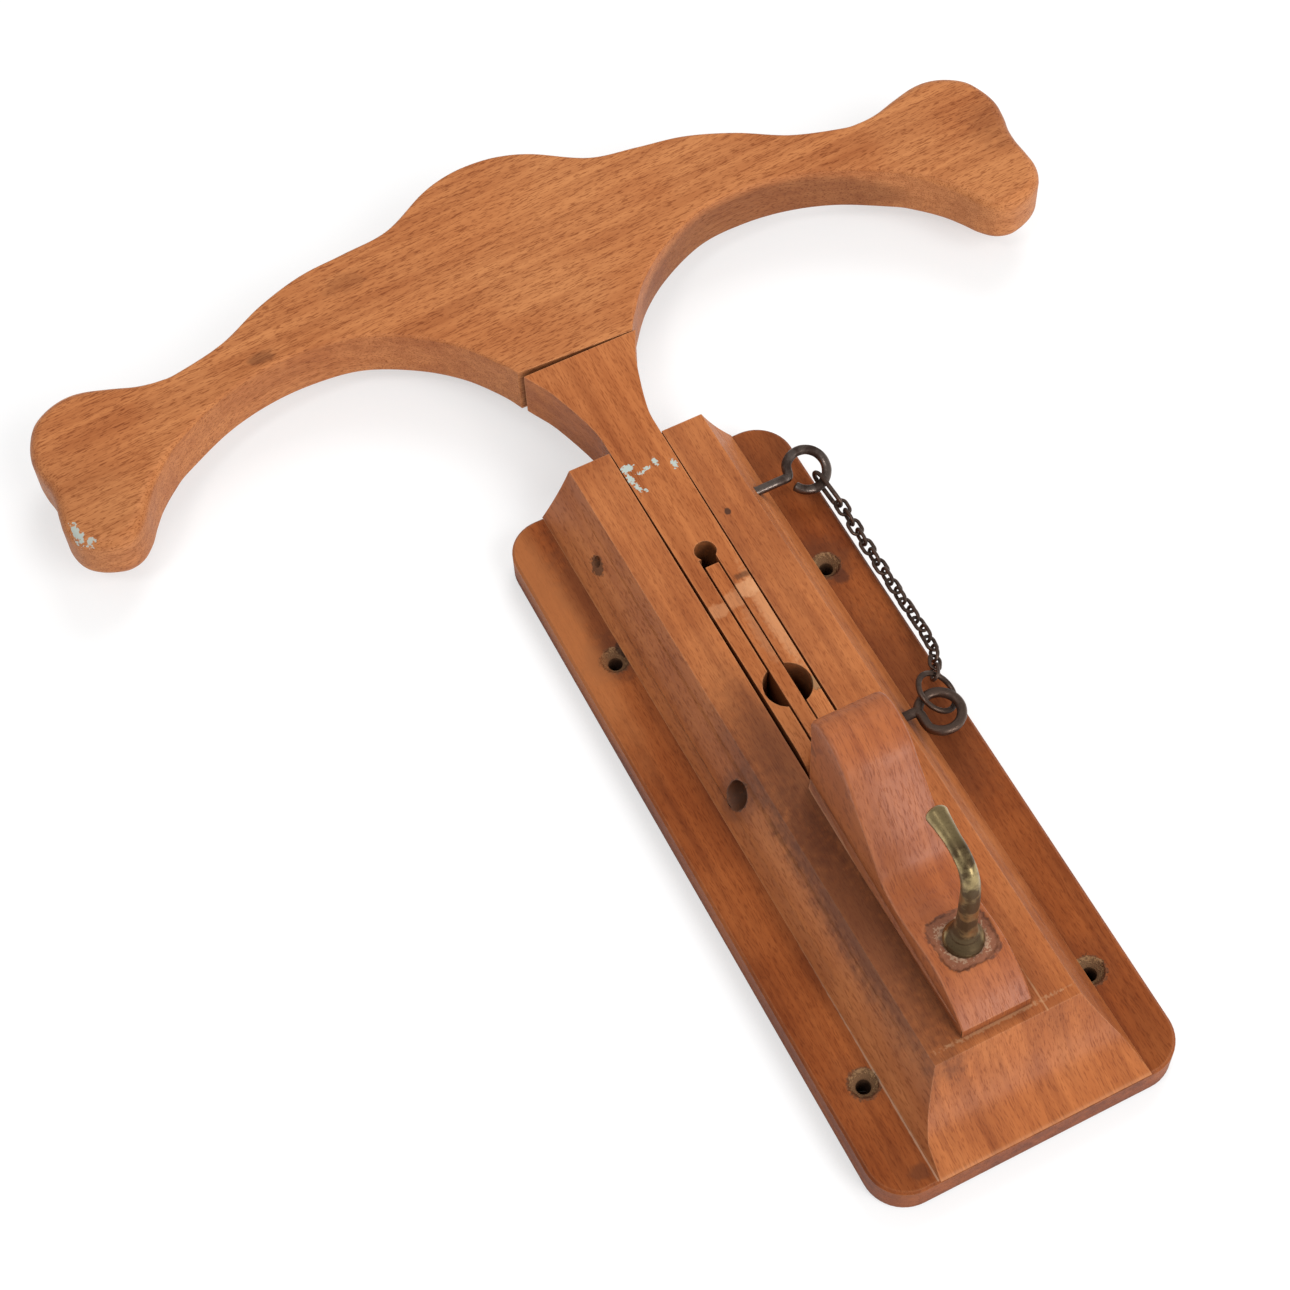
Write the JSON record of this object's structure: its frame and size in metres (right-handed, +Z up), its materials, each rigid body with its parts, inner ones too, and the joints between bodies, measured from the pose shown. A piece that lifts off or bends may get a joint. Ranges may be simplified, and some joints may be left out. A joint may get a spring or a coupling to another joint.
{
  "type": "wall mounted clothes valet",
  "caption": "Wall-mounted wooden clothes valet: coved housing, fold-out coat yoke, swing peg, eye pin on a chain that locks the arm, corbel rest and brass hook.",
  "frame": {"origin": "centre of the back board's back face, where it lies on the wall", "axes": "+X to the right seen from the room, +Y into the wall, +Z up"},
  "size_m": [0.4217, 0.106, 0.462],
  "materials": {
    "stained_beech": "satin varnish over honey-brown stain",
    "red_beech": "glossy varnish over red-brown stain",
    "pale_beech": "bare",
    "aged_brass": "aged, rubbed bright on the tip",
    "dark_iron": "darkened, satin",
    "screw_steel": "plain zinc-plated"
  },
  "bodies": {
    "base": {"back_board": "stained_beech", "housing_block": "stained_beech", "corbel": "red_beech", "coat_hook": "aged_brass", "housing_screw_1": "screw_steel", "housing_screw_2": "screw_steel", "housing_screw_3": "screw_steel", "housing_screw_4": "screw_steel", "corbel_screw_1": "screw_steel", "corbel_screw_2": "screw_steel", "pivot_pin": "dark_iron", "pivot_washer": "dark_iron", "chain_ring": "dark_iron"},
    "arm": {"neck": "stained_beech", "yoke": "stained_beech", "joint_dowel_1": "pale_beech", "joint_dowel_2": "pale_beech"},
    "peg": {"swing_peg": "stained_beech"},
    "lock": {"lock_pin": "dark_iron"},
    "chain": {"long_link": "dark_iron", "chain_link_01": "dark_iron", "chain_link_02": "dark_iron", "chain_link_03": "dark_iron", "chain_link_04": "dark_iron", "chain_link_05": "dark_iron", "chain_link_06": "dark_iron", "chain_link_07": "dark_iron", "chain_link_08": "dark_iron", "chain_link_09": "dark_iron", "chain_link_10": "dark_iron", "chain_link_11": "dark_iron", "chain_link_12": "dark_iron", "chain_link_13": "dark_iron", "chain_link_14": "dark_iron", "chain_link_15": "dark_iron", "chain_link_16": "dark_iron", "chain_link_17": "dark_iron", "chain_link_18": "dark_iron"}
  },
  "joints": [
    {"name": "arm_swing", "type": "hinge", "parent": "base", "child": "arm", "pos_m": [0, -0.0254, 0.0037], "axis": [1, 0, 0], "range_deg": [0, 90]},
    {"name": "peg_swing", "type": "hinge", "parent": "base", "child": "peg", "pos_m": [0, -0.0254, 0.0037], "axis": [1, 0, 0], "range_deg": [0, 90]},
    {"name": "lock_pin_slide", "type": "slide", "parent": "base", "child": "lock", "axis": [1, 0, 0], "range_m": [-0.011, 0.0075]},
    {"name": "chain_swing", "type": "hinge", "parent": "base", "child": "chain", "pos_m": [0.05407, -0.02404, 0.01487], "axis": [0, 1, 0], "range_deg": [-6.9, 4.7]}
  ],
  "couplings": [
    {"joint": "chain_swing", "follows": "lock_pin_slide", "rad_per_m": 10.45}
  ]
}
